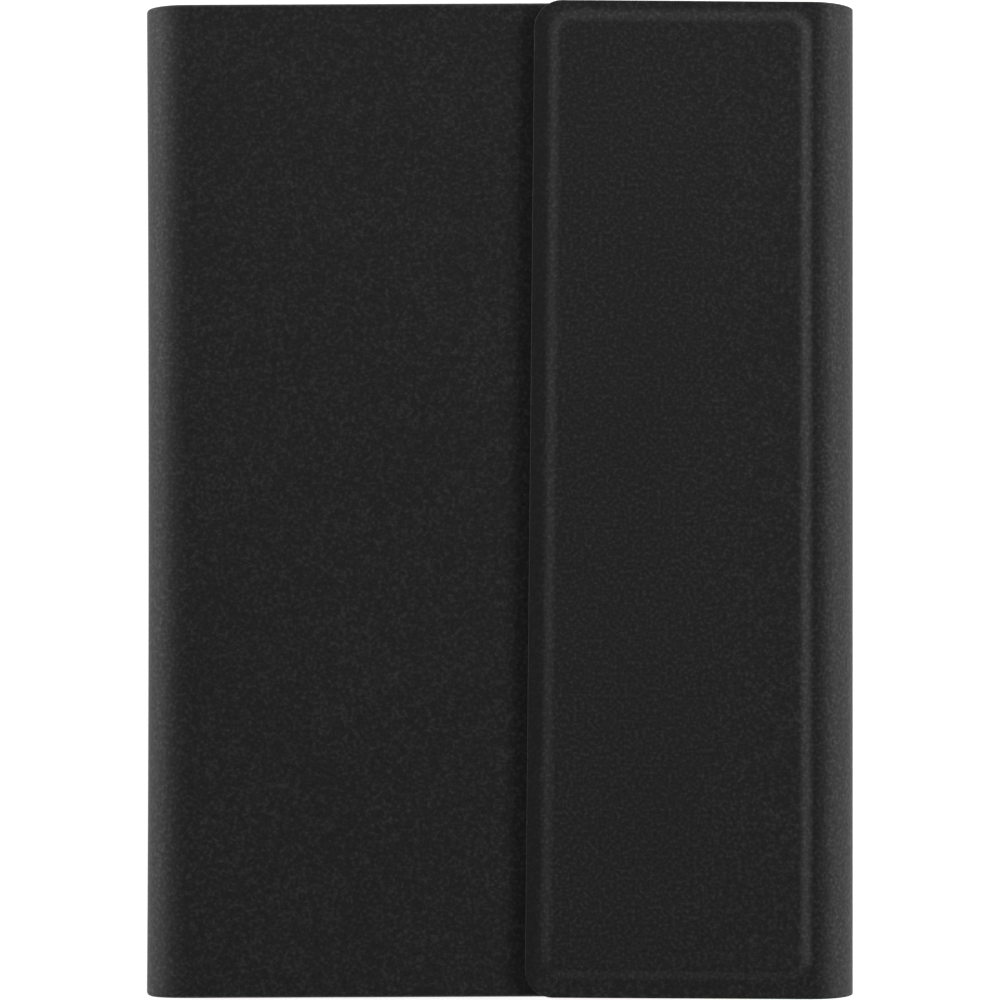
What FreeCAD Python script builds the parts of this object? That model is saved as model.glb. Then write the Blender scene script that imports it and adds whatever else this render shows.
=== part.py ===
import FreeCAD, Part
import math
import os

os.makedirs("parts", exist_ok=True)

# A closed folio keyboard case for a small tablet, in millimetres.
# X runs across the closed front from the spine to the fold, Y along the spine, Z out of the front.
# The case lies on its keyboard side, with the tablet's lid above it and the closing flap on top.

# Tablet that the tray holds
tablet_length = 200.0
tablet_width = 134.8
tablet_thickness = 6.1
tablet_corner_radius = 7.0

# Cover layers
skin = 0.8
board = 0.8
base_board_thickness = 1.0
lining = 0.4
hinge_gap = 0.15

# Keyboard housing
housing_corner_radius = 3.0
housing_wall = 1.2
housing_floor = 0.8
deck_thickness = 1.0
deck_edge_round = 0.5
housing_end_margin = 5.0
housing_spine_margin = 3.0
housing_fold_margin = 2.5

# Keys
key_units = 13
full_rows = 5
key_side_margin = 2.5
palm_rest_width = 35.0
function_row_pitch = 9.5
key_gap = 2.6
key_proud = 0.8
key_travel = 1.0
key_flange = 0.35
key_flange_overlap = 0.35
key_corner_radius = 1.0
key_edge_round = 0.25
key_clearance = 0.25
flange_clearance = 0.05
key_strip_width = 9.0

# Sheets under the keys
backplate_thickness = 0.4
membrane_thickness = 0.2
dome_sheet_thickness = 0.2
dome_base_radius = 2.4
dome_top_radius = 1.4
squashed_dome = 0.2
sheet_margin = 0.8

# Electronics in the palm rest
electronics_clearance = 1.0
controller_length = 46.0
controller_width = 16.0
controller_thickness = 0.8
chip_size = 6.0
chip_height = 0.9
battery_length = 90.0
battery_thickness = 2.0
port_width = 7.5
port_depth = 5.2
port_height = 2.2
port_wall = 0.35
port_tongue = 0.5
port_from_controller_edge = 8.0

# Small controls and fasteners
fit_clearance = 0.05
switch_travel = 3.0
switch_knob_width = 3.5
switch_knob_height = 1.2
switch_proud = 0.7
switch_flange = 0.8
switch_clearance = 0.15
switch_from_port = 14.0
pairing_radius = 2.0
pairing_flange = 0.5
pairing_flange_height = 0.7
pairing_proud = 0.3
light_radius = 0.8
light_pitch = 6.0
light_count = 3
screw_radius = 0.7
screw_head_radius = 1.3
screw_head_height = 0.5
screw_depth_in_deck = 0.4
boss_wall = 0.9
screw_end_inset = 8.0
screw_side_inset = 4.5
bumper_radius = 3.0
bumper_height = 1.1
bumper_end_inset = 22.0
bumper_side_inset = 5.0

# Tablet tray
tray_gap = 0.4
tray_lip_thickness = 0.8
tray_lip_overhang = 1.2
tray_wall = 1.6
tray_floor = 1.7
tray_clearance = 0.1
tablet_side_clearance = 0.2
tablet_end_clearance = 0.3
tablet_face_clearance = 0.1
tray_end_margin = 3.1
tray_past_spine_line = 3.0
tray_past_fold_line = 3.9
lid_short_of_tray = 0.6
port_slot_length = 16.0
button_slot_length = 26.0
slot_height = 3.4

# Tray hinge and prop
pin_radius = 0.45
pin_running_clearance = 0.08
knuckle_length = 12.0
knuckle_count = 4
knuckle_end_inset = 24.0
knuckle_side_clearance = 0.2
notch_clearance = 0.5
leaf_width = 9.0
prop_arm = 55.0
prop_width = 46.0
prop_thickness = 1.1
prop_side_clearance = 0.4
prop_window_back = 2.2
prop_window_front = 1.6
prop_pin_seat = 6.0
prop_foot_inset = 1.0
prop_end_back = 0.4

# Camera hole, beside the fold at the top
camera_radius = 5.0
camera_ring_wall = 1.0
camera_from_lid_edge = 10.0
camera_from_top = 13.0

# Closing flap
fold_depth = 11.5
flap_gap = 0.2
flap_width = 58.8
flap_corner_radius = 6.0
flap_border = 3.8
panel_corner_radius = 3.5
panel_edge_round = 0.6
panel_fold_margin = 0.5
lid_corner_radius = 6.0

# Closing magnets
magnet_length = 20.0
magnet_width = 6.0
magnet_thickness = 0.6
magnet_count = 4
magnet_pitch = 44.0
magnet_from_flap_edge = 12.0

# Heights, from the underside up
housing_bottom = skin + base_board_thickness
cavity_bottom = housing_bottom + housing_floor
membrane_bottom = cavity_bottom + backplate_thickness
dome_sheet_bottom = membrane_bottom + membrane_thickness
dome_sheet_top = dome_sheet_bottom + dome_sheet_thickness
key_bottom = dome_sheet_top + squashed_dome + key_travel
deck_bottom = key_bottom + key_flange + flange_clearance
housing_top = deck_bottom + deck_thickness
key_top = housing_top + key_proud
tray_rim = key_top + tray_gap
bay_bottom = tray_rim + tray_lip_thickness
bay_top = bay_bottom + tablet_thickness + tablet_face_clearance
tray_top = bay_top + tray_floor
lining_bottom = tray_top + tray_clearance
lid_board_bottom = lining_bottom + lining
lid_skin_bottom = lid_board_bottom + board
lid_top = lid_skin_bottom + skin
flap_liner_bottom = lid_top + flap_gap
flap_bottom = flap_liner_bottom + lining
flap_border_top = flap_bottom + skin
flap_top = flap_bottom + board + skin

# Plan sizes
tray_width = tablet_width + 2 * (tablet_side_clearance + tray_wall)
tray_length = tablet_length + 2 * (tablet_end_clearance + tray_wall)
case_length = tray_length + 2 * tray_end_margin
spine_radius = lid_top / 2
panel_width = tray_width - tray_past_spine_line - tray_past_fold_line
case_width = spine_radius + panel_width + fold_depth
spine_x = spine_radius - case_width / 2
fold_x = spine_x + panel_width
half_length = case_length / 2
tray_left = spine_x - tray_past_spine_line
tray_right = tray_left + tray_width
lid_right = tray_right - lid_short_of_tray
flap_left = fold_x - flap_width
hinge_x = tray_left + tray_floor / 2
hinge_z = tray_top - tray_floor / 2
prop_x = hinge_x + prop_arm
foot_x = prop_x + prop_arm
camera_x = lid_right - camera_from_lid_edge
camera_y = half_length - camera_from_top

housing_left = spine_x + housing_spine_margin
housing_right = fold_x - housing_fold_margin
housing_half = half_length - housing_end_margin
key_pitch = 2 * (housing_half - key_side_margin) / key_units
keys_left = housing_left + key_strip_width
keys_right = housing_right - palm_rest_width
row_pitch = (keys_right - keys_left - function_row_pitch) / full_rows
palm_left = keys_right + electronics_clearance
palm_right = housing_right - screw_side_inset - screw_radius - boss_wall - electronics_clearance
port_x = palm_left + port_from_controller_edge
switch_x = port_x + switch_from_port

# Key widths in each row, in key units, from the user's left to right
row_widths = {
    "function_row_keys": [1.0] * key_units,
    "number_row_keys": [1.0] * key_units,
    "upper_letter_keys": [1.5] + [1.0] * 10 + [1.5],
    "home_row_keys": [1.75] + [1.0] * 10 + [1.25],
    "lower_letter_keys": [2.0] + [1.0] * 11,
    "bottom_row_keys": [1.0, 1.0, 1.0, 1.25, None, 1.25, 1.0, 1.0, 1.0],
}
space_bar_units = 4.5


def vector(x, y, z):
    return FreeCAD.Vector(x, y, z)


def box(x0, x1, y0, y1, z0, z1):
    return Part.makeBox(x1 - x0, y1 - y0, z1 - z0, vector(x0, y0, z0))


def upright_edges(shape, chosen=None):
    edges = []
    for edge in shape.Edges:
        ends = edge.Vertexes
        upright = len(ends) == 2 and abs(ends[0].Z - ends[1].Z) > 0.99 * edge.Length
        if upright and (chosen is None or chosen(ends[0].X)):
            edges.append(edge)
    return edges


def plate(x0, x1, y0, y1, z0, z1, radius):
    """A flat plate with its four upright edges rounded."""
    block = box(x0, x1, y0, y1, z0, z1)
    return block.makeFillet(radius, upright_edges(block))


def level_edges(shape, z):
    """The edges that lie in the plane at height z."""
    return [e for e in shape.Edges if abs(e.BoundBox.ZMin - z) < 1e-6 and abs(e.BoundBox.ZMax - z) < 1e-6]


def rod_y(x, z, radius, y0, y1):
    return Part.makeCylinder(radius, y1 - y0, vector(x, y0, z), vector(0, 1, 0))


def rod_z(x, y, radius, z0, z1):
    return Part.makeCylinder(radius, z1 - z0, vector(x, y, z0))


def joined(shapes):
    return shapes[0].multiFuse(shapes[1:]).removeSplitter()


def spread(count, end):
    """Places evenly spaced from -end to +end."""
    return [-end + 2 * end * i / (count - 1) for i in range(count)]


def arc_edge(x, z, depth, rise, start, stop):
    """An arc of an ellipse round (x, z); its angles rise from the side that depth points to."""
    points = []
    steps = 8
    for i in range(steps + 1):
        angle = math.radians(start + (stop - start) * i / steps)
        points.append(vector(x + depth * math.cos(angle), -half_length, z + rise * math.sin(angle)))
    curve = Part.BSplineCurve()
    curve.interpolate(points)
    return curve.toShape()


def bent_sheet(x, depth, rise, outset, thickness, start, stop):
    """A sheet bent round the middle of the rise, its outer face inset from the ellipse by outset."""
    side = math.copysign(1.0, depth)
    outer = arc_edge(x, rise, depth - side * outset, rise - outset, start, stop)
    inset = outset + thickness
    inner = arc_edge(x, rise, depth - side * inset, rise - inset, start, stop)
    ends = []
    for one, other in zip(outer.Vertexes, inner.Vertexes):
        ends.append(Part.LineSegment(one.Point, other.Point).toShape())
    face = Part.Face(Part.Wire([outer, ends[1], inner, ends[0]]))
    return face.extrude(vector(0, case_length, 0))


def quarter_length(depth, rise):
    return arc_edge(0, rise, depth, rise, 0, 90).Length


def living_hinge(depth, rise):
    """Skin round one edge of the case: lower lip, middle and upper lip, split at 45 degrees."""
    x = spine_x if depth < 0 else fold_x
    gap = math.degrees(hinge_gap / 2 / rise)
    lower = bent_sheet(x, depth, rise, 0, skin, -90, -45 - gap)
    middle = bent_sheet(x, depth, rise, 0, skin, -45 + gap, 45 - gap)
    upper = bent_sheet(x, depth, rise, 0, skin, 45 + gap, 90)
    liner = bent_sheet(x, depth, rise, skin + fit_clearance, lining, -45 + gap, 45 - gap)
    return lower, middle, upper, liner


def end_walls(x0, x1, z0, z1):
    """The skin turned over the two short ends of a board."""
    walls = []
    for y0, y1 in ((-half_length, skin - half_length), (half_length - skin, half_length)):
        walls.append(box(x0, x1, y0, y1, z0, z1))
    return walls


def magnets(x, z):
    """A row of flat block magnets along Y, centred on x, standing on z."""
    places = [magnet_pitch * (i - (magnet_count - 1) / 2) for i in range(magnet_count)]
    half_width = magnet_width / 2
    half = magnet_length / 2
    top = z + magnet_thickness
    blocks = [box(x - half_width, x + half_width, y - half, y + half, z, top) for y in places]
    return Part.makeCompound(blocks)


def camera_cut(radius):
    return rod_z(camera_x, camera_y, radius, 0, flap_top)


def base_cover(spine_lip, fold_lip):
    sheet = box(spine_x, fold_x, -half_length, half_length, 0, skin)
    walls = end_walls(spine_x, fold_x, skin, housing_bottom)
    stiff = box(spine_x, fold_x, skin - half_length, half_length - skin, skin, housing_bottom)
    lined_top = housing_bottom + lining
    lined = box(spine_x, fold_x, -half_length, half_length, housing_bottom, lined_top)
    seat_half = housing_half + fit_clearance
    seat = plate(housing_left - fit_clearance, housing_right + fit_clearance, -seat_half, seat_half,
                 housing_bottom, lined_top, housing_corner_radius + fit_clearance)
    return {
        "base_skin": joined([sheet, spine_lip, fold_lip] + walls),
        "base_board": stiff,
        "base_liner": lined.cut(seat),
    }


def lid_outline(x0, x1, inset, z0, z1):
    """A lid layer with its two corners beside the fold rounded."""
    block = box(x0, x1 - inset, inset - half_length, half_length - inset, z0, z1)
    corners = upright_edges(block, lambda x: x > x0 + lid_corner_radius)
    return block.makeFillet(lid_corner_radius - inset, corners)


def lid_cover(spine_lip):
    ring_cut = camera_cut(camera_radius + camera_ring_wall)
    sheet = lid_outline(spine_x, lid_right, 0, lid_board_bottom, lid_top)
    pocket = lid_outline(spine_x, lid_right, skin, lid_board_bottom, lid_skin_bottom)
    cover = joined([sheet.cut(pocket), spine_lip]).cut(ring_cut)
    closers = magnets(flap_left + magnet_from_flap_edge, lid_board_bottom)
    leaf_end = tray_left + leaf_width
    lined = lid_outline(leaf_end, lid_right, 0, lining_bottom, lid_board_bottom)
    ring = rod_z(camera_x, camera_y, camera_radius + camera_ring_wall, lining_bottom, lid_top)
    return {
        "lid_skin": cover,
        "lid_board": pocket.cut(ring_cut).cut(closers),
        "lid_liner": lined.cut(ring_cut),
        "lid_magnets": closers,
        "camera_ring": ring.cut(camera_cut(camera_radius)),
    }


def flap_outline(x0, x1, inset, radius, z0, z1):
    """A flap layer with its two free corners rounded."""
    block = box(x0, x1, inset - half_length, half_length - inset, z0, z1)
    return block.makeFillet(radius, upright_edges(block, lambda x: abs(x - x0) < 1e-6))


def flap_cover(fold_lip):
    border = flap_outline(flap_left, fold_x, 0, flap_corner_radius, flap_bottom, flap_border_top)
    panel_left = flap_left + flap_border
    panel_right = fold_x - panel_fold_margin
    panel_half = half_length - flap_border
    panel = plate(panel_left, panel_right, -panel_half, panel_half, flap_bottom, flap_top,
                  panel_corner_radius)
    panel = panel.makeFillet(panel_edge_round, level_edges(panel, flap_top))
    board_half = panel_half - skin
    stiff = plate(panel_left + skin, panel_right - skin, -board_half, board_half,
                  flap_bottom, flap_bottom + board, panel_corner_radius - skin)
    closers = magnets(flap_left + magnet_from_flap_edge, flap_bottom)
    lined = flap_outline(flap_left, fold_x, 0, flap_corner_radius, flap_liner_bottom, flap_bottom)
    return {
        "flap_skin": joined([border, panel, fold_lip]).cut(stiff),
        "flap_board": stiff.cut(closers),
        "flap_liner": lined,
        "flap_magnets": closers,
    }


def key_plan():
    """For each row: the key rectangles (x0, x1, y0, y1)."""
    plan = {}
    x0 = keys_left
    for name, widths in row_widths.items():
        depth = function_row_pitch if name == "function_row_keys" else row_pitch
        x1 = x0 + depth - key_gap
        y = key_side_margin - housing_half
        plan[name] = []
        for width in widths:
            run = key_pitch * (width or space_bar_units)
            row = name if width else "space_bar"
            plan.setdefault(row, []).append((x0, x1, y + key_gap / 2, y + run - key_gap / 2))
            y += run
        x0 += depth
    return plan


def grown(rectangle, margin):
    x0, x1, y0, y1 = rectangle
    return x0 - margin, x1 + margin, y0 - margin, y1 + margin


def key(rectangle):
    """One key cap with the flange that stops it under the deck."""
    cap = plate(*rectangle, key_bottom, key_top, key_corner_radius)
    cap = cap.makeFillet(key_edge_round, level_edges(cap, key_top))
    footprint = grown(rectangle, key_clearance + key_flange_overlap)
    flange = box(*footprint, key_bottom, key_bottom + key_flange)
    return cap.fuse(flange).removeSplitter()


def key_rows(plan):
    return {name: Part.makeCompound([key(place) for place in places]) for name, places in plan.items()}


def screw_places():
    places = []
    for x in (housing_left + screw_side_inset, housing_right - screw_side_inset):
        for y in spread(3, housing_half - screw_end_inset):
            places.append((x, y))
    return places


def light_places():
    start = housing_half - screw_end_inset - 2 * light_pitch
    x = housing_left + screw_side_inset
    return [(x, start - light_pitch * i) for i in range(light_count)]


def pairing_place():
    return housing_left + screw_side_inset, light_places()[-1][1] - 2 * light_pitch


def wall_cuts():
    """Openings in the housing's end wall for the charging port and the power switch."""
    outer = housing_half
    inner = housing_half - housing_wall
    half = port_width / 2 + fit_clearance
    port_top = cavity_bottom + port_height + fit_clearance
    port = box(port_x - half, port_x + half, inner, outer, cavity_bottom, port_top)
    slot_half = switch_knob_width / 2 + switch_clearance
    low = switch_base() - switch_clearance
    high = switch_base() + switch_knob_height + switch_clearance
    slot = box(switch_x - slot_half, switch_x + slot_half + switch_travel, inner, outer, low, high)
    return [port, slot]


def switch_base():
    return (cavity_bottom + deck_bottom - switch_knob_height) / 2


def bottom_case():
    half = housing_half
    shell = plate(housing_left, housing_right, -half, half, housing_bottom, deck_bottom,
                  housing_corner_radius)
    cavity = plate(housing_left + housing_wall, housing_right - housing_wall, housing_wall - half,
                   half - housing_wall, cavity_bottom, deck_bottom, housing_corner_radius - housing_wall)
    cuts = wall_cuts()
    head_top = housing_bottom + screw_head_height
    for x, y in screw_places():
        cuts.append(rod_z(x, y, screw_head_radius + fit_clearance, housing_bottom, head_top))
        cuts.append(rod_z(x, y, screw_radius + fit_clearance, housing_bottom, cavity_bottom))
    return shell.cut(cavity).cut(Part.makeCompound(cuts))


def deck(plan):
    half = housing_half
    top = plate(housing_left, housing_right, -half, half, deck_bottom, housing_top, housing_corner_radius)
    top = top.makeFillet(deck_edge_round, level_edges(top, housing_top))
    boss_radius = screw_radius + boss_wall
    bosses = [rod_z(x, y, boss_radius, cavity_bottom, deck_bottom) for x, y in screw_places()]
    cuts = []
    for places in plan.values():
        for place in places:
            cuts.append(box(*grown(place, key_clearance), deck_bottom, housing_top))
    screw_top = deck_bottom + screw_depth_in_deck
    for x, y in screw_places():
        cuts.append(rod_z(x, y, screw_radius + fit_clearance, cavity_bottom, screw_top))
    for x, y in light_places():
        cuts.append(rod_z(x, y, light_radius + fit_clearance, deck_bottom, housing_top))
    x, y = pairing_place()
    cuts.append(rod_z(x, y, pairing_radius + switch_clearance, deck_bottom, housing_top))
    return joined([top] + bosses).cut(Part.makeCompound(cuts))


def screws():
    bodies = []
    for x, y in screw_places():
        head = rod_z(x, y, screw_head_radius, housing_bottom, housing_bottom + screw_head_height)
        shank = rod_z(x, y, screw_radius, housing_bottom, deck_bottom + screw_depth_in_deck)
        bodies.append(head.fuse(shank).removeSplitter())
    return Part.makeCompound(bodies)


def bumpers():
    pads = []
    for x in (housing_left + bumper_side_inset, housing_right - bumper_side_inset):
        for y in spread(2, housing_half - bumper_end_inset):
            pad = rod_z(x, y, bumper_radius, housing_top, housing_top + bumper_height)
            rim = level_edges(pad, housing_top + bumper_height)
            pads.append(pad.makeFillet(bumper_height / 2, rim))
    return Part.makeCompound(pads)


def key_sheet(z0, z1):
    end = housing_half - housing_wall - sheet_margin
    return box(keys_left - sheet_margin, keys_right - key_gap + sheet_margin, -end, end, z0, z1)


def domes(plan):
    cones = []
    height = key_bottom - dome_sheet_top
    for places in plan.values():
        for x0, x1, y0, y1 in places:
            centre = vector((x0 + x1) / 2, (y0 + y1) / 2, dome_sheet_top)
            cones.append(Part.makeCone(dome_base_radius, dome_top_radius, height, centre))
    return joined([key_sheet(dome_sheet_bottom, dome_sheet_top)] + cones)


def controller_ends():
    end = housing_half - housing_wall - port_depth
    return end - controller_length, end


def controller():
    start, end = controller_ends()
    top = cavity_bottom + controller_thickness
    panel = box(palm_left, palm_left + controller_width, start, end, cavity_bottom, top)
    chips = []
    for y in (start + chip_size, start + 3 * chip_size):
        x = palm_left + (controller_width - chip_size) / 2
        chips.append(box(x, x + chip_size, y, y + chip_size, top, top + chip_height))
    return joined([panel] + chips)


def battery():
    end = controller_ends()[0] - electronics_clearance
    top = cavity_bottom + battery_thickness
    cell = box(palm_left, palm_right, end - battery_length, end, cavity_bottom, top)
    edges = [e for e in cell.Edges if abs(e.BoundBox.YLength - battery_length) < 1e-6]
    return cell.makeFillet(battery_thickness / 4, edges)


def charge_port():
    half = port_width / 2
    back = housing_half - housing_wall - port_depth
    top = cavity_bottom + port_height
    shell = box(port_x - half, port_x + half, back, housing_half, cavity_bottom, top)
    inner = half - port_wall
    hollow = box(port_x - inner, port_x + inner, back + port_wall, housing_half,
                 cavity_bottom + port_wall, top - port_wall)
    middle = cavity_bottom + port_height / 2
    tongue_half = inner - port_tongue
    tongue = box(port_x - tongue_half, port_x + tongue_half, back, housing_half - port_tongue,
                 middle - port_tongue / 2, middle + port_tongue / 2)
    return joined([shell.cut(hollow), tongue])


def power_switch():
    """The knob in its slot and the plate that keeps it behind the wall."""
    half = switch_knob_width / 2
    low = switch_base()
    high = low + switch_knob_height
    inner = housing_half - housing_wall - switch_clearance
    knob = box(switch_x - half, switch_x + half, inner, housing_half + switch_proud, low, high)
    keeper_half = half + switch_flange
    keeper = box(switch_x - keeper_half, switch_x + keeper_half, inner - switch_flange, inner,
                 low - switch_clearance * 2, high + switch_clearance * 2)
    return joined([knob, keeper])


def pairing_button():
    x, y = pairing_place()
    flange_top = deck_bottom - flange_clearance
    cap = rod_z(x, y, pairing_radius, flange_top - pairing_flange_height, housing_top + pairing_proud)
    flange = rod_z(x, y, pairing_radius + switch_clearance + pairing_flange,
                   flange_top - pairing_flange_height, flange_top)
    return joined([cap, flange])


def keyboard():
    plan = key_plan()
    nodes = key_rows(plan)
    nodes["keyboard_bottom_case"] = bottom_case()
    nodes["keyboard_deck"] = deck(plan)
    nodes["housing_screws"] = screws()
    nodes["deck_bumpers"] = bumpers()
    nodes["key_backplate"] = key_sheet(cavity_bottom, membrane_bottom)
    nodes["membrane_circuit"] = key_sheet(membrane_bottom, dome_sheet_bottom)
    nodes["dome_sheet"] = domes(plan)
    nodes["controller_board"] = controller()
    nodes["battery_cell"] = battery()
    nodes["charge_port"] = charge_port()
    nodes["power_switch"] = power_switch()
    nodes["pairing_button"] = pairing_button()
    lights = [rod_z(x, y, light_radius, deck_bottom, housing_top) for x, y in light_places()]
    nodes["status_lights"] = Part.makeCompound(lights)
    return nodes


def knuckle_places():
    return spread(knuckle_count, tray_length / 2 - knuckle_end_inset)


def tray_cuts():
    """What is cut out of the tray: bay, mouth, hinge notches and bores, prop window and holes."""
    bay_x0 = tray_left + tray_wall
    bay_x1 = tray_right - tray_wall
    bay_half = tray_length / 2 - tray_wall
    bay = plate(bay_x0, bay_x1, -bay_half, bay_half, bay_bottom, bay_top, tablet_corner_radius)
    lip = tray_lip_overhang
    mouth = plate(bay_x0 + lip, bay_x1 - lip, lip - bay_half, bay_half - lip, tray_rim, bay_bottom,
                  tablet_corner_radius - lip)
    cuts = [bay, mouth, rod_y(hinge_x, hinge_z, pin_radius, -hinge_pin_half(), hinge_pin_half())]
    reach = tray_floor / 2 + notch_clearance
    for y in knuckle_places():
        half = knuckle_length / 2 + knuckle_side_clearance
        cuts.append(box(tray_left, hinge_x + reach, y - half, y + half, hinge_z - reach, tray_top))
    half = prop_width / 2 + prop_side_clearance
    window_end = foot_x + prop_window_front
    cuts.append(box(prop_x - prop_window_back, window_end, -half, half, bay_top, tray_top))
    cuts.append(rod_y(prop_x, hinge_z, pin_radius, -prop_pin_half(), prop_pin_half()))
    cuts.append(rod_z(camera_x, camera_y, camera_radius, bay_top, tray_top))
    middle_x = (tray_left + tray_right) / 2
    middle_z = (bay_bottom + bay_top) / 2
    for y0, y1, length in ((-tray_length / 2, -bay_half, port_slot_length),
                           (bay_half, tray_length / 2, button_slot_length)):
        cuts.append(box(middle_x - length / 2, middle_x + length / 2, y0, y1,
                        middle_z - slot_height / 2, middle_z + slot_height / 2))
    return cuts


def hinge_pin_half():
    return tray_length / 2 - tablet_corner_radius - tray_wall


def prop_pin_half():
    return prop_width / 2 + prop_pin_seat


def tray():
    half = tray_length / 2
    corner = tablet_corner_radius + tray_wall
    block = plate(tray_left, tray_right, -half, half, tray_rim, tray_top, corner)
    block = block.makeFillet(tray_floor / 2, level_edges(block, tray_top))
    return block.cut(Part.makeCompound(tray_cuts()))


def hinge_knuckles():
    """The leaf under the lid board with its rolled knuckles round the tray's pin."""
    roll = tray_floor / 2
    end = tray_length / 2 - knuckle_end_inset + knuckle_length / 2
    leaf = box(tray_left, tray_left + leaf_width, -end, end, lining_bottom, lid_board_bottom)
    shapes = [leaf]
    bores = []
    for y in knuckle_places():
        y0 = y - knuckle_length / 2
        y1 = y + knuckle_length / 2
        shapes.append(rod_y(hinge_x, hinge_z, roll, y0, y1))
        shapes.append(box(hinge_x - roll, hinge_x + roll, y0, y1, hinge_z, lining_bottom))
        bores.append(rod_y(hinge_x, hinge_z, pin_radius + pin_running_clearance, y0, y1))
    return joined(shapes).cut(Part.makeCompound(bores))


def prop():
    """The leg, its pin and its soft foot; arm and leg are as long, so the foot keeps to the lid."""
    half = prop_width / 2
    low = hinge_z - prop_thickness / 2
    high = hinge_z + prop_thickness / 2
    leg = box(prop_x, foot_x - prop_end_back, -half, half, low, high)
    leg = leg.fuse(rod_y(prop_x, hinge_z, prop_thickness / 2 + pin_running_clearance * 2, -half, half))
    leg = leg.cut(rod_y(prop_x, hinge_z, pin_radius + pin_running_clearance, -half, half))
    foot_half = half - prop_foot_inset
    foot = rod_y(foot_x, hinge_z, tray_floor / 2, -foot_half, foot_half).cut(leg)
    return {
        "stand_prop": leg,
        "prop_pin": rod_y(prop_x, hinge_z, pin_radius, -prop_pin_half(), prop_pin_half()),
        "prop_foot": foot,
    }


def stand():
    nodes = prop()
    nodes["tablet_tray"] = tray()
    nodes["tray_hinge_pin"] = rod_y(hinge_x, hinge_z, pin_radius, -hinge_pin_half(), hinge_pin_half())
    nodes["tray_hinge_knuckles"] = hinge_knuckles()
    return nodes


def hinge_line(depth, rise, top):
    """Where the two lines of a living hinge lie, so that the opened panel lies flat, face down."""
    run = quarter_length(depth, rise)
    out = (abs(depth) + run - top / 2) / 2
    up = (abs(depth) - run + top / 2) / 2
    return out, up


def print_hinges():
    out, up = hinge_line(-spine_radius, spine_radius, lid_top)
    print("spine hinge lines at x %.4f, z %.4f and %.4f" % (spine_x - out, up, lid_top - up))
    out, up = hinge_line(fold_depth, flap_border_top / 2, flap_top)
    print("fold hinge lines at x %.4f, z %.4f and %.4f" % (fold_x + out, up, flap_top - up))
    print("tray hinge at x %.4f, z %.4f, prop hinge at x %.4f" % (hinge_x, hinge_z, prop_x))
    print("tray bay x %.3f to %.3f, half length %.3f, z %.3f to %.3f" % (
        tray_left + tray_wall, tray_right - tray_wall, tray_length / 2 - tray_wall, bay_bottom, bay_top))
    print("case %.2f by %.2f by %.2f" % (case_width, case_length, flap_top))


spine_lower, spine_middle, spine_upper, spine_lining = living_hinge(-spine_radius, spine_radius)
fold_lower, fold_middle, fold_upper, fold_lining = living_hinge(fold_depth, flap_border_top / 2)

nodes = base_cover(spine_lower, fold_lower)
nodes.update(lid_cover(spine_upper))
nodes.update(flap_cover(fold_upper))
nodes.update({"spine_skin": spine_middle, "spine_liner": spine_lining})
nodes.update({"fold_skin": fold_middle, "fold_liner": fold_lining})
nodes.update(keyboard())
nodes.update(stand())

for name, shape in nodes.items():
    shape.exportStep("parts/%s.step" % name)
print_hinges()
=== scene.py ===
import math

import bmesh
import bpy
from mathutils import Matrix, Vector


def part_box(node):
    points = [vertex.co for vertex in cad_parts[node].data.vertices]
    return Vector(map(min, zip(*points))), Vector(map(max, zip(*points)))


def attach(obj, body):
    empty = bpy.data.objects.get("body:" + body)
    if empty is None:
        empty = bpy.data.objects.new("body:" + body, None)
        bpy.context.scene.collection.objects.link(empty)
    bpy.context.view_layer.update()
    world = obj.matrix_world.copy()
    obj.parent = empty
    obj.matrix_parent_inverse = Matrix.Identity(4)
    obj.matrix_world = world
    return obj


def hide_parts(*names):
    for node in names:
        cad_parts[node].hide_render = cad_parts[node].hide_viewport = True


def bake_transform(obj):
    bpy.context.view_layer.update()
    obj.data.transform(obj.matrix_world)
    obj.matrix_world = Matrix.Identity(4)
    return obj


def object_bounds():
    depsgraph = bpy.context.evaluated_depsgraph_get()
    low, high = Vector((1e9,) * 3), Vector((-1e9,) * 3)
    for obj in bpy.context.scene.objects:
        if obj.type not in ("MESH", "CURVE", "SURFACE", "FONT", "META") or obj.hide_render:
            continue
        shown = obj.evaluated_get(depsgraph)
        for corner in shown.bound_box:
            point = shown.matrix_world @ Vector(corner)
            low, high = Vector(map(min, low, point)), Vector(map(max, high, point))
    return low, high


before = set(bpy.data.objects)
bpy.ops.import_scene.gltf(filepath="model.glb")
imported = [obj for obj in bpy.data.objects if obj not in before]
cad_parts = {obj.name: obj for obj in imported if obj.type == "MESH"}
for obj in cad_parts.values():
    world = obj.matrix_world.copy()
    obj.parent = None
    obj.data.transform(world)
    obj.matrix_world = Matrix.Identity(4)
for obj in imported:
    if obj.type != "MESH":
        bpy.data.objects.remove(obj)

cad_low, cad_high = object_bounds()
MM = 0.001

# Sizes read from the frame, in metres
base_low, base_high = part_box("base_board")
spine_x = base_low.x
fold_x = base_high.x
skin = base_low.z
base_board = base_high.z - base_low.z
half_length = cad_high.y
lid_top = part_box("lid_skin")[1].z
lid_lining_low, lid_lining_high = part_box("lid_liner")
lid_right = lid_lining_high.x
lid_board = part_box("lid_board")[1].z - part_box("lid_board")[0].z
flap_low, flap_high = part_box("flap_liner")
lining = flap_high.z - flap_low.z
flap_border_top = flap_high.z + skin
flap_raise = cad_high.z - flap_border_top
spine_radius = lid_top / 2
fold_depth = cad_high.x - fold_x
camera_low, camera_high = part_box("camera_ring")

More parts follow.
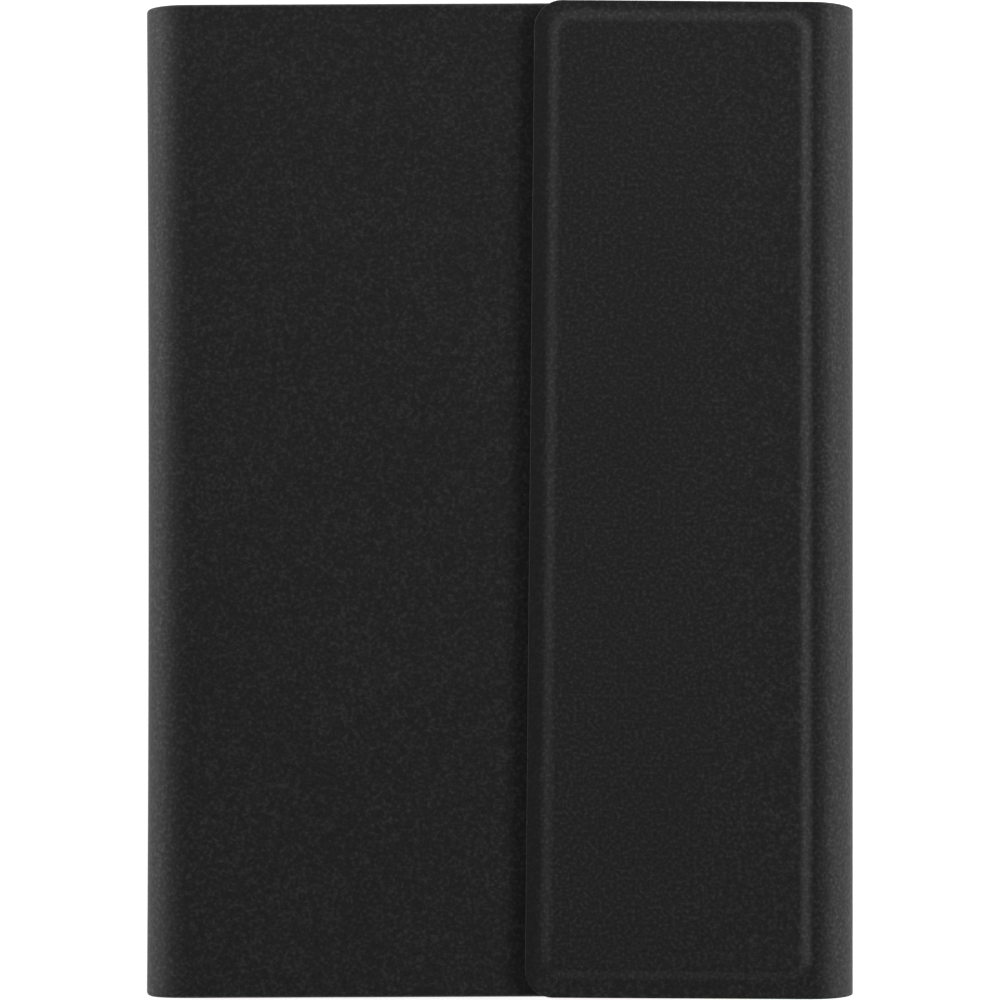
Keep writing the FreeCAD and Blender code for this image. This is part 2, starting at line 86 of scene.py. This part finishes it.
# Soft shape of the cover: how the leatherette swells past its boards, tightens round its bends
# and rises over the flap's padded panel
edge_round = 0.7 * MM
flap_edge_round = 0.2 * MM
spine_pinch = 0.52 * MM
spine_shoulder = 1.2 * MM
spine_skive = 0.3 * MM
fold_pinch = 0.64 * MM
fold_shoulder = 1.9 * MM
corner_radius = 6.0 * MM
end_swell = 0.15 * MM
fold_draw = 0.3 * MM
flap_end_swell = 0.35 * MM
flap_short = 0.55 * MM
lining_inset = 0.35 * MM
panel_border = 2.7 * MM
panel_end_border = 2.3 * MM
panel_shift = 0.9 * MM
panel_slope = 3.4 * MM
panel_corner = 5.5 * MM
panel_past_fold_line = 1.8 * MM
# Width and fade of the painted shade along the flap's free edge: a darker band of colour that stands in
# for the shade there
painted_shade_width = 2.0 * MM
painted_shade_fade = 1.6 * MM
panel_crown = 0.15 * MM
panel_plump = 0.22 * MM

# How the used cover lies: rolls and leans in degrees, the rest in metres
lid_roll = 0.25
lid_pivot_x = -20.0 * MM
flap_roll = 0.37
flap_edge_lean = 0.56
flap_lift = 0.35 * MM
spine_waist = 0.35 * MM
bend_slip = 0.31 * MM

# The stretch of each quarter bend that flexes when the cover opens, in degrees from its flat side
flex_start = 34.0
flex_stop = 58.0
quarter_bend = 90.0

# Key legends
key_field_margin = 0.7 * MM
legend_size = 4.2 * MM
word_size = 2.6 * MM
legend_thickness = 0.01 * MM

# Each run of the cover goes from an edge along a flat side and round a quarter of a bend
fold_corner = fold_x + fold_shoulder
fold_reach = fold_depth - fold_shoulder - fold_pinch
fold_rise = flap_border_top / 2
cover_half = half_length + end_swell
runs = {
    "flap": {
        "edge": flap_low.x + flap_short, "corner": fold_corner, "rise": fold_rise, "depth": fold_reach,
        "up": 1, "free": True, "turned": skin, "round": flap_edge_round,
        "half": half_length + flap_end_swell,
    },
    "base_right": {
        "edge": 0.0, "corner": fold_corner, "rise": fold_rise, "depth": fold_reach,
        "up": -1, "free": False, "turned": skin + base_board, "round": edge_round, "half": cover_half,
    },
    "base_left": {
        "edge": 0.0, "corner": spine_x, "rise": spine_radius, "depth": -spine_radius,
        "up": -1, "free": False, "turned": skin + base_board, "round": edge_round, "half": cover_half,
    },
    "lid": {
        "edge": lid_right, "corner": spine_x + spine_shoulder, "rise": spine_radius,
        "depth": -spine_radius - spine_shoulder,
        "up": 1, "free": True, "turned": skin + lid_board, "round": edge_round, "half": cover_half,
    },
}

# Key widths in key units and legends, from the user's left to right
key_rows = {
    "function_row_keys": ([1.0] * 13, ["esc"] + ["F%d" % number for number in range(1, 13)]),
    "number_row_keys": ([1.0] * 13, list("1234567890-=") + ["del"]),
    "upper_letter_keys": ([1.5] + [1.0] * 10 + [1.5], ["tab"] + list("QWERTYUIOP") + ["\\"]),
    "home_row_keys": ([1.75] + [1.0] * 10 + [1.25], ["caps"] + list("ASDFGHJKL;") + ["enter"]),
    "lower_letter_keys": ([2.0] + [1.0] * 11, ["shift"] + list("ZXCVBNM,./") + ["^"]),
    "bottom_row_keys": ([1.0, 1.0, 1.0, 1.25, 4.5, 1.25, 1.0, 1.0, 1.0],
                        ["fn", "ctrl", "alt", "cmd", "", "alt", "<", "v", ">"]),
}


def smooth(value):
    t = min(1.0, max(0.0, value))
    return t * t * (3 - 2 * t)


def flat_length(run):
    return abs(run["corner"] - run["edge"])


def bend_length(run):
    return math.pi / 4 * (abs(run["depth"]) + run["rise"])


def whole_length(run):
    return flat_length(run) + bend_length(run)


def rounded_distance(x, y, half_x, half_y, radius):
    """How far inside a rounded rectangle about the origin a point lies."""
    dx = abs(x) - half_x + radius
    dy = abs(y) - half_y + radius
    outside = math.hypot(max(dx, 0.0), max(dy, 0.0))
    return radius - outside - min(max(dx, dy), 0.0)


def outline_distance(run, s, y):
    """How far a point of the run lies from its nearest outer edge."""
    if not run["free"]:
        return run["half"] - abs(y)
    reach = 2 * whole_length(run)
    return rounded_distance(s - reach / 2, y, reach / 2, run["half"], corner_radius)


def rounded_corner(run, s, y):
    """Moves a grid point beside a free corner onto the rounded corner."""
    inset = run["half"] - abs(y)
    if not run["free"] or s >= corner_radius or inset >= corner_radius:
        return s, y
    a = 1 - s / corner_radius
    b = 1 - inset / corner_radius
    s = corner_radius * (1 - a * math.sqrt(1 - b * b / 2))
    inset = corner_radius * (1 - b * math.sqrt(1 - a * a / 2))
    return s, math.copysign(run["half"] - inset, y)


def edge_lift(s):
    """How far the flap's free edge stands up from where the fold would hold it."""
    return flap_lift * smooth(1 - s / flat_length(runs["flap"]))


def panel_height(s, y):
    """Height of the raised panel above the flap's border, with the lift of the free edge."""
    run = runs["flap"]
    panel_end = fold_x + panel_past_fold_line - run["edge"]
    middle = (panel_border + panel_end) / 2
    half_x = (panel_end - panel_border) / 2
    half_y = run["half"] - panel_end_border
    inside = rounded_distance(s - middle, y - panel_shift, half_x, half_y, panel_corner)
    crown = panel_crown * smooth(inside / half_x)
    return (flap_raise + panel_plump) * smooth(inside / panel_slope) + crown + edge_lift(s)


def edge_drop(distance, radius):
    """How far the surface falls away within a rounded edge."""
    if distance >= radius:
        return 0.0
    return radius - math.sqrt(max(0.0, radius ** 2 - (radius - distance) ** 2))


def on_bend(run, s, depth):
    """X and Z of the point at arc length s and at a depth under the outer face."""
    flat = flat_length(run)
    if s <= flat:
        x = run["edge"] + math.copysign(s, run["corner"] - run["edge"])
        return x, run["rise"] + run["up"] * (run["rise"] - depth)
    turn = (s - flat) / bend_length(run) * math.pi / 2
    normal = Vector((math.sin(turn) / run["depth"], run["up"] * math.cos(turn) / run["rise"]))
    normal.normalize()
    x = run["corner"] + run["depth"] * math.sin(turn)
    z = run["rise"] * (1 + run["up"] * math.cos(turn))
    return x - normal.x * depth, z - normal.y * depth


def bend_point(run_name, degrees):
    """The point on a run's outer face that many degrees round its bend."""
    run = runs[run_name]
    x, z = on_bend(run, flat_length(run) + bend_length(run) * degrees / quarter_bend, 0.0)
    return x, 0, z


def settled(name, x, y, z):
    """Where a point of a run comes to lie once the cover has been opened and shut: skewed, slipped
    and drawn in at its bends, and waisted along the spine."""
    if name == "flap":
        reach = max(0.0, fold_x - x)
        x += y * math.tan(math.radians(flap_edge_lean)) * smooth(reach / flat_length(runs["flap"]))
        y += reach * math.tan(math.radians(flap_roll))
    elif name in ("lid", "base_left"):
        y += (x - lid_pivot_x) * math.tan(math.radians(lid_roll)) * smooth(z / lid_top)
    waist = spine_pinch + spine_waist * (1 - (y / half_length) ** 2)
    past_spine = min(1.0, max(0.0, (spine_x - x) / spine_radius))
    past_fold = min(1.0, max(0.0, (x - fold_x) / fold_depth))
    y *= 1 - fold_draw / half_length * past_fold ** 2
    y -= bend_slip * max(past_spine, past_fold) ** 2
    return Vector((x + waist * past_spine ** 4, y, z))


def spaced(start, stop, fine, coarse, margin):
    """Grid lines from start to stop: fine within a margin of both ends, coarse between."""
    lines = []
    stretches = [(start, start + margin, fine), (start + margin, stop - margin, coarse),
                 (stop - margin, stop, fine)]
    for low, high, step in stretches:
        count = math.ceil((high - low) / step)
        lines += [low + (high - low) * i / count for i in range(count)]
    return lines + [stop]


def edge_lines(run):
    """Distances from an edge, close together where it is rounded."""
    shares = (0.0, 0.03, 0.1, 0.2, 0.35, 0.55, 0.8)
    return [share * run["round"] for share in shares]


def grid_lines(run):
    """Where the grid of a run has its lines, along the run and across it."""
    flat = flat_length(run)
    fine = 0.35 * MM
    coarse = 2.5 * MM
    margin = 8 * MM
    bend_steps = 48
    along = spaced(run["round"], flat, fine, coarse, margin)
    if run["free"]:
        along = edge_lines(run) + along
    else:
        along = [0.0] + along
    along += [flat + bend_length(run) * (i + 1) / bend_steps for i in range(bend_steps)]
    inner = run["half"] - run["round"]
    across = [distance - run["half"] for distance in edge_lines(run)]
    across += spaced(-inner, inner, fine, coarse, margin)
    across += [run["half"] - distance for distance in reversed(edge_lines(run))]
    return along, across


def add_piece(name, mesh):
    piece = bpy.data.objects.new(name, mesh)
    bpy.context.scene.collection.objects.link(piece)
    return piece


def face_outward(piece):
    """Turns the faces of a closed mesh outward and shades it smooth between its sharp edges."""
    edit = bmesh.new()
    edit.from_mesh(piece.data)
    bmesh.ops.recalc_face_normals(edit, faces=edit.faces)
    edit.to_mesh(piece.data)
    edit.free()
    piece.data.shade_smooth()
    sharp_from = 40.0
    piece.data.set_sharp_from_angle(angle=math.radians(sharp_from))


def sheet_mesh(name, run_name, outer, inner, along, across):
    """A closed sheet between two depth functions of (s, y) over the grid of a run."""
    run = runs[run_name]
    points = []
    for depth in (outer, inner):
        for s in along:
            for y in across:
                cs, cy = rounded_corner(run, s, y)
                x, z = on_bend(run, cs, depth(cs, cy))
                points.append(settled(run_name, x, cy, z))
    rows = len(along)
    columns = len(across)
    lower = rows * columns
    faces = []
    for i in range(rows - 1):
        for j in range(columns - 1):
            a = i * columns + j
            quad = (a, a + 1, a + columns + 1, a + columns)
            faces.append(quad)
            faces.append(tuple(lower + k for k in reversed(quad)))
    rim = [(i, 0) for i in range(rows - 1)] + [(rows - 1, j) for j in range(columns - 1)]
    rim += [(i, columns - 1) for i in range(rows - 1, 0, -1)]
    rim += [(0, j) for j in range(columns - 1, 0, -1)]
    loop = [i * columns + j for i, j in rim]
    for a, b in zip(loop, loop[1:] + loop[:1]):
        faces.append((b, a, lower + a, lower + b))
    mesh = bpy.data.meshes.new(name)
    mesh.from_pydata(points, [], faces)
    piece = add_piece(name, mesh)
    face_outward(piece)
    return piece


def rounded_block(name, low, high, radius):
    """An upright block with rounded upright edges."""
    corner_steps = 8
    left, right = low.x + radius, high.x - radius
    near, far = low.y + radius, high.y - radius
    outline = []
    for quarter, (x, y) in enumerate([(right, far), (left, far), (left, near), (right, near)]):
        for i in range(corner_steps + 1):
            angle = math.pi / 2 * (quarter + i / corner_steps)
            outline.append((x + radius * math.cos(angle), y + radius * math.sin(angle)))
    count = len(outline)
    points = [(x, y, z) for z in (low.z, high.z) for x, y in outline]
    faces = [tuple(reversed(range(count))), tuple(range(count, 2 * count))]
    for i in range(count):
        j = (i + 1) % count
        faces.append((i, j, count + j, count + i))
    mesh = bpy.data.meshes.new(name)
    mesh.from_pydata(points, [], faces)
    return add_piece(name, mesh)


def cut(piece, cutter):
    """Takes the cutter out of the piece and removes the cutter."""
    modifier = piece.modifiers.new("cut", "BOOLEAN")
    modifier.operation = "DIFFERENCE"
    modifier.object = cutter
    graph = bpy.context.evaluated_depsgraph_get()
    whole = piece.data
    piece.data = bpy.data.meshes.new_from_object(piece.evaluated_get(graph))
    piece.modifiers.clear()
    bpy.data.meshes.remove(whole)
    bpy.data.objects.remove(cutter)
    face_outward(piece)


def camera_hole():
    """A round cutter as wide as the camera ring, through the lid."""
    past = Vector((0, 0, MM))
    radius = (camera_high.x - camera_low.x) / 2
    nearly_round = 0.9999
    return rounded_block("camera_hole", camera_low - past, camera_high + past, radius * nearly_round)


def skived(run_name, s):
    """How much thinner the leatherette is pared inside the spine, where the lid bends."""
    if run_name != "lid":
        return 0.0
    turn = (s - flat_length(runs["lid"])) / bend_length(runs["lid"])
    return spine_skive * smooth(4 * turn) * smooth(4 - 4 * turn)


def skin_piece(name, run_name):
    """The leatherette of a run, turned in at its edges and raised over the flap's board."""
    run = runs[run_name]
    flat = flat_length(run)

    def height(s, y):
        return panel_height(s, y) if run_name == "flap" else 0.0

    def outer(s, y):
        return edge_drop(outline_distance(run, s, y), run["round"]) - height(s, y)

    def inner(s, y):
        if outline_distance(run, s, y) < skin and s < flat:
            return run["turned"] - height(s, y)
        return skin - skived(run_name, s) - height(s, y)

    piece = sheet_mesh(name, run_name, outer, inner, *grid_lines(run))
    if run_name == "flap":
        # Painted shade along the flap's free edge, carried in a mesh attribute
        paint_edge_shade(piece)
    return piece


def paint_edge_shade(piece):
    """Paints shade along the flap's free edge: a mesh attribute that darkens the colour there to stand
    in for shade.
    """
    lean = math.tan(math.radians(flap_edge_lean))
    painted_edge_shade = piece.data.attributes.new("painted_edge_shade", "FLOAT", "POINT")
    for point, vertex in zip(painted_edge_shade.data, piece.data.vertices):
        s = vertex.co.x - vertex.co.y * lean - runs["flap"]["edge"]
        point.value = 1 - smooth((s - painted_shade_width) / painted_shade_fade)


def lining_piece(name, run_name, first, last, depth):
    """The lining of a run from s = first to s = last, at a depth under the skin's outer face."""
    run = runs[run_name]
    along, across = grid_lines(run)
    along = [first] + [s for s in along if first < s < last] + [last]
    edge = run["half"] - lining_inset
    across = [-edge] + [y for y in across if abs(y) < edge] + [edge]

    def outer(s, y):
        return depth - (edge_lift(s) if run_name == "flap" else 0.0)

    return sheet_mesh(name, run_name, outer, lambda s, y: depth + lining, along, across)


# Materials


def new_material(name):
    material = bpy.data.materials.new(name)
    material.use_nodes = True
    nodes = material.node_tree.nodes
    return material, nodes, material.node_tree.links, nodes["Principled BSDF"]


def coordinates(nodes):
    return nodes.new("ShaderNodeTexCoord").outputs["Object"]


def noise(nodes, links, where, scale, detail=3.0, rough=0.55):
    texture = nodes.new("ShaderNodeTexNoise")
    texture.inputs["Scale"].default_value = scale
    texture.inputs["Detail"].default_value = detail
    texture.inputs["Roughness"].default_value = rough
    links.new(where, texture.inputs["Vector"])
    return texture.outputs["Fac"]


def ramp(nodes, links, value, stops):
    """A colour ramp over (position, grey or colour) stops."""
    node = nodes.new("ShaderNodeValToRGB")
    elements = node.color_ramp.elements
    while len(elements) < len(stops):
        elements.new(0.5)
    for element, (position, colour) in zip(elements, stops):
        element.position = position
        shade = colour if hasattr(colour, "__len__") else (colour, colour, colour)
        element.color = (*shade, 1.0)
    links.new(value, node.inputs["Fac"])
    return node.outputs["Color"]


def mapped(nodes, links, value, low, high):
    node = nodes.new("ShaderNodeMapRange")
    node.inputs["To Min"].default_value = low
    node.inputs["To Max"].default_value = high
    links.new(value, node.inputs["Value"])
    return node.outputs["Result"]


def mixed(nodes, links, first, second, share, mode="MIX"):
    node = nodes.new("ShaderNodeMix")
    node.data_type = "RGBA"
    node.blend_type = mode
    node.inputs["Factor"].default_value = share
    links.new(first, node.inputs["A"])
    links.new(second, node.inputs["B"])
    return node.outputs["Result"]


def bumped(nodes, links, shader, height, strength, distance, under=None):
    node = nodes.new("ShaderNodeBump")
    node.inputs["Strength"].default_value = strength
    node.inputs["Distance"].default_value = distance
    links.new(height, node.inputs["Height"])
    if under is not None:
        links.new(under, node.inputs["Normal"])
    links.new(node.outputs["Normal"], shader.inputs["Normal"])
    return node.outputs["Normal"]


def leatherette():
    """Matte black leatherette: fine pebble, pale specks on the pebble tops and a soft mottle, with
    painted shade darkening the colour along the flap's free edge.
    """
    material, nodes, links, shader = new_material("leatherette")
    where = coordinates(nodes)
    specks = noise(nodes, links, where, 1300.0, 2.0, 0.6)
    mottle = noise(nodes, links, where, 45.0, 3.0, 0.6)
    pebble = nodes.new("ShaderNodeTexVoronoi")
    pebble.feature = "SMOOTH_F1"
    pebble.inputs["Scale"].default_value = 1100.0
    pebble.inputs["Smoothness"].default_value = 0.6
    links.new(where, pebble.inputs["Vector"])
    grain = ramp(nodes, links, specks, [(0.25, 0.001), (0.5, 0.0122), (0.75, 0.05)])
    cloud = ramp(nodes, links, mottle, [(0.3, 0.82), (0.7, 1.0)])
    # Painted shade: the colour is darkened to four tenths along the flap's free edge, standing in for
    # the shade there
    painted_edge_shade = nodes.new("ShaderNodeAttribute")
    painted_edge_shade.attribute_name = "painted_edge_shade"
    painted_border_shade = ramp(nodes, links, painted_edge_shade.outputs["Fac"], [(0.0, 1.0), (1.0, 0.4)])
    shade = mixed(nodes, links, cloud, painted_border_shade, 1.0, "MULTIPLY")
    links.new(mixed(nodes, links, grain, shade, 1.0, "MULTIPLY"), shader.inputs["Base Color"])
    links.new(mapped(nodes, links, specks, 0.74, 0.5), shader.inputs["Roughness"])
    first = bumped(nodes, links, shader, pebble.outputs["Distance"], 0.25, 0.00010)
    bumped(nodes, links, shader, specks, 0.35, 0.00012, first)
    shader.inputs["Specular IOR Level"].default_value = 0.5
    shader.inputs["Sheen Weight"].default_value = 0.03
    shader.inputs["Sheen Roughness"].default_value = 0.5
    return material


def grained(name, dark, light, scale, rough, bump, metal=0.0, specular=0.5):
    """A moulded, woven or rolled surface: two tones of grain, with roughness and bump that follow it."""
    material, nodes, links, shader = new_material(name)
    where = coordinates(nodes)
    grain = noise(nodes, links, where, scale, 4.0, 0.6)
    broad = noise(nodes, links, where, scale / 30, 2.0, 0.5)
    tone = ramp(nodes, links, grain, [(0.3, dark), (0.7, light)])
    shade = ramp(nodes, links, broad, [(0.3, 0.88), (0.7, 1.0)])
    links.new(mixed(nodes, links, tone, shade, 1.0, "MULTIPLY"), shader.inputs["Base Color"])
    links.new(mapped(nodes, links, grain, rough[0], rough[1]), shader.inputs["Roughness"])
    bumped(nodes, links, shader, grain, bump, 0.00005)
    shader.inputs["Metallic"].default_value = metal
    shader.inputs["Specular IOR Level"].default_value = specular
    return material


def brushed(name, dark, light, stretch):
    """Metal with fine scratches drawn out along one axis."""
    material, nodes, links, shader = new_material(name)
    mapping = nodes.new("ShaderNodeMapping")
    mapping.inputs["Scale"].default_value = stretch
    links.new(coordinates(nodes), mapping.inputs["Vector"])
    lines = noise(nodes, links, mapping.outputs["Vector"], 900.0, 3.0, 0.6)
    links.new(ramp(nodes, links, lines, [(0.3, dark), (0.7, light)]), shader.inputs["Base Color"])
    links.new(mapped(nodes, links, lines, 0.28, 0.45), shader.inputs["Roughness"])
    bumped(nodes, links, shader, lines, 0.12, 0.00002)
    shader.inputs["Metallic"].default_value = 1.0
    return material


def floor_material():
    """A pale floor that is white to the camera and keeps the object's shadow."""
    material, nodes, links, shader = new_material("pale_floor")
    where = coordinates(nodes)
    tone = noise(nodes, links, where, 30.0)
    links.new(ramp(nodes, links, tone, [(0.3, 0.86), (0.7, 0.9)]), shader.inputs["Base Color"])
    shader.inputs["Roughness"].default_value = 0.9
    rays = nodes.new("ShaderNodeLightPath")
    seen = nodes.new("ShaderNodeMath")
    seen.operation = "MAXIMUM"
    links.new(rays.outputs["Is Camera Ray"], seen.inputs[0])
    links.new(rays.outputs["Is Glossy Ray"], seen.inputs[1])
    either = nodes.new("ShaderNodeMath")
    either.operation = "MAXIMUM"
    links.new(seen.outputs[0], either.inputs[0])
    links.new(rays.outputs["Is Transmission Ray"], either.inputs[1])
    share = nodes.new("ShaderNodeMath")
    share.operation = "MULTIPLY"
    share.inputs[1].default_value = 0.8
    links.new(either.outputs[0], share.inputs[0])
    shader.inputs["Emission Color"].default_value = (1, 1, 1, 1)
    links.new(share.outputs[0], shader.inputs["Emission Strength"])
    return material


def dress(material, *names):
    """Gives CAD nodes a finish."""
    for name in names:
        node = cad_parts[name]
        node.data.materials.clear()
        node.data.materials.append(material)


def finish_piece(piece, material, slot, *nodes):
    """Gives a soft piece its finish and lets it stand for its CAD nodes."""
    piece.data.materials.clear()
    piece.data.materials.append(material)
    if nodes:
        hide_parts(*nodes)


def cover():
    """The leatherette and lining of the whole cover, bending at the spine and the fold."""
    leather = leatherette()
    microfibre = grained("microfibre", 0.022, 0.05, 2600.0, (0.9, 0.98), 0.4, specular=0.15)
    starts = {run_name: bend_point(run_name, flex_start) for run_name in runs}
    stops = {run_name: bend_point(run_name, flex_stop) for run_name in runs}
    bends = {
        "lid": ("spine", "lid", stops["lid"], starts["lid"]),
        "base_left": ("base", "spine", starts["base_left"], stops["base_left"]),
        "base_right": ("base", "fold", starts["base_right"], stops["base_right"]),
        "flap": ("fold", "flap", stops["flap"], starts["flap"]),
    }
    skins = {
        "lid": ["lid_skin"],
        "base_left": ["base_skin", "spine_skin"],
        "base_right": ["fold_skin"],
        "flap": ["flap_skin"],
    }
    linings = {
        "lid": ["spine_liner"],
        "base_left": [],
        "base_right": [],
        "flap": ["flap_liner", "fold_liner"],
    }
    lining_starts = {
        "lid": flat_length(runs["lid"]) + bend_length(runs["lid"]) * flex_stop / quarter_bend,
        "base_left": flat_length(runs["base_left"]),
        "base_right": flat_length(runs["base_right"]),
        "flap": lining_inset,
    }
    strips = base_lining(microfibre)
    for run_name, bend in bends.items():
        run = runs[run_name]
        piece = skin_piece(run_name + "_leatherette", run_name)
        if run_name == "lid":
            cut(piece, camera_hole())
        finish_piece(piece, leather, "leatherette", *skins[run_name])
        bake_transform(piece)
        first = lining_starts[run_name]
        inside = lining_piece(run_name + "_lining", run_name, first, whole_length(run), skin)
        finish_piece(inside, microfibre, "lining", *linings[run_name])
        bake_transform(inside)
        if run_name == "lid":
            strips["base_left"].append(inside)
    lid_lining(microfibre)


def lid_lining(microfibre):
    """The flat lining inside the lid, from its free edge to the hinge leaf of the tray."""
    length = lid_right - lid_lining_low.x
    piece = lining_piece("lid_flat_lining", "lid", lining_inset, length, skin + lid_board)
    cut(piece, camera_hole())
    finish_piece(piece, microfibre, "lining", "lid_liner")
    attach(piece, "lid")


def base_lining(microfibre):
    """The narrow strips of lining that frame the keyboard, by the run whose lining they go with."""
    pieces = {}
    low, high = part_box("base_liner")
    case_low, case_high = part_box("keyboard_bottom_case")
    end = high.y - lining_inset
    strips = {
        "base_spine_lining": ((low.x, -end), (case_low.x, end)),
        "base_fold_lining": ((case_high.x, -end), (high.x, end)),
        "base_top_lining": ((case_low.x, case_high.y), (case_high.x, end)),
        "base_bottom_lining": ((case_low.x, -end), (case_high.x, case_low.y)),
    }
    for name, (start, stop) in strips.items():
        piece = rounded_block(name, Vector((*start, low.z)), Vector((*stop, high.z)), lining_inset)
        face_outward(piece)
        finish_piece(piece, microfibre, "lining", "base_liner")
        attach(piece, "base")
        pieces[name] = piece
    return {"base_left": [pieces["base_spine_lining"], pieces["base_top_lining"]],
            "base_right": [pieces["base_fold_lining"], pieces["base_bottom_lining"]]}


def row_legends(row, widths, labels, ink):
    """The printed legends of one row of keys."""
    field_low, field_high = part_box("number_row_keys")
    start = field_low.y - key_field_margin
    pitch = (field_high.y - field_low.y + 2 * key_field_margin) / sum(widths)
    low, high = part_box(row)
    y = start
    edit = bmesh.new()
    for width, label in zip(widths, labels):
        text = bpy.data.curves.new("legend", "FONT")
        text.body = label
        text.size = legend_size if len(label) == 1 else word_size
        text.align_x = "CENTER"
        text.align_y = "CENTER"
        text.extrude = legend_thickness
        letters = bpy.data.objects.new("legend", text)
        mesh = bpy.data.meshes.new_from_object(letters)
        place = Vector(((low.x + high.x) / 2, y + pitch * width / 2, high.z))
        mesh.transform(Matrix.Translation(place) @ Matrix.Rotation(math.pi / 2, 4, "Z"))
        edit.from_mesh(mesh)
        bpy.data.objects.remove(letters)
        bpy.data.meshes.remove(mesh)
        y += pitch * width
    printed = bpy.data.meshes.new(row + "_legends")
    edit.to_mesh(printed)
    edit.free()
    piece = add_piece(row + "_legends", printed)
    piece.data.materials.append(ink)
    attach(piece, row)


def legends():
    ink = grained("legend_ink", 0.42, 0.55, 1800.0, (0.5, 0.6), 0.05)
    for row, (widths, labels) in key_rows.items():
        row_legends(row, widths, labels, ink)


def inner_pieces():
    """Finishes of the pieces that keep their CAD shape."""
    plastic = grained("moulded_plastic", 0.020, 0.034, 2200.0, (0.5, 0.62), 0.2)
    keycap = grained("key_plastic", 0.016, 0.026, 3000.0, (0.42, 0.55), 0.12)
    satin = grained("tray_plastic", 0.018, 0.028, 2600.0, (0.45, 0.6), 0.15)
    rubber = grained("soft_rubber", 0.02, 0.032, 1800.0, (0.8, 0.92), 0.2, specular=0.3)
    steel = brushed("brushed_steel", 0.42, 0.62, (1.0, 0.04, 1.0))
    dark_metal = brushed("dark_anodised", 0.05, 0.09, (0.04, 1.0, 1.0))
    boards = grained("black_board", 0.018, 0.035, 900.0, (0.85, 0.95), 0.3)
    dress(plastic, "keyboard_bottom_case", "keyboard_deck")
    dress(keycap, *key_rows, "space_bar")
    dress(satin, "tablet_tray")
    dress(rubber, "deck_bumpers", "dome_sheet", "prop_foot", "camera_ring")
    dress(steel, "housing_screws", "key_backplate", "tray_hinge_pin", "tray_hinge_knuckles", "prop_pin",
          "charge_port", "lid_magnets", "flap_magnets")
    dress(dark_metal, "stand_prop")
    dress(boards, "base_board", "lid_board", "flap_board")
    dress(grained("solder_mask", (0.01, 0.07, 0.03), (0.02, 0.12, 0.05), 700.0, (0.3, 0.45), 0.1),
          "controller_board")
    dress(grained("film", 0.32, 0.45, 500.0, (0.3, 0.4), 0.05), "membrane_circuit")
    dress(grained("pouch_foil", 0.45, 0.6, 400.0, (0.3, 0.45), 0.3, metal=1.0), "battery_cell")
    dress(grained("light_pipe", 0.5, 0.7, 900.0, (0.15, 0.25), 0.05), "status_lights")
    dress(grained("control_plastic", 0.06, 0.1, 2400.0, (0.4, 0.5), 0.15),
          "power_switch", "pairing_button")


def area_light(name, place, size, power):
    """A soft box that faces the object."""
    data = bpy.data.lights.new(name, "AREA")
    data.shape = "RECTANGLE"
    data.size, data.size_y = size
    data.energy = power
    lamp = bpy.data.objects.new(name, data)
    lamp.location = place
    lamp.rotation_euler = (-Vector(place)).to_track_quat("-Z", "Y").to_euler()
    bpy.context.scene.collection.objects.link(lamp)


def studio():
    """Pale floor, low soft boxes all round, and the camera straight above."""
    scene = bpy.context.scene
    scene.view_settings.view_transform = "Standard"
    world = bpy.data.worlds.new("studio")
    world.use_nodes = True
    world.node_tree.nodes["Background"].inputs["Color"].default_value = (1, 1, 1, 1)
    world.node_tree.nodes["Background"].inputs["Strength"].default_value = 0.018
    scene.world = world
    area_light("overhead", (0.0, 0.3, 1.2), (0.6, 0.5), 0.05)
    area_light("left_softbox", (-0.9, 0.28, 0.26), (1.1, 0.30), 6.7)
    area_light("right_softbox", (0.9, 0.24, 0.44), (1.1, 0.32), 6.9)
    area_light("top_softbox", (0.0, 1.0, 0.3), (1.0, 0.32), 2.6)
    area_light("front_softbox", (0.0, -1.0, 0.3), (1.0, 0.32), 2.2)

    bpy.ops.mesh.primitive_plane_add(size=6.0, location=(0, 0, 0))
    floor = bpy.context.active_object
    floor.name = "floor"
    floor.data.materials.append(floor_material())

    camera_data = bpy.data.cameras.new("camera")
    camera_data.sensor_width = 36.0
    camera_data.lens = 135.3
    camera_data.clip_start = 0.01
    camera_data.clip_end = 20.0
    camera = bpy.data.objects.new("camera", camera_data)
    camera_height = 0.813
    camera.location = (0.0, 0.1 * MM, camera_height)
    scene.collection.objects.link(camera)
    scene.camera = camera


cover()
legends()
inner_pieces()
studio()
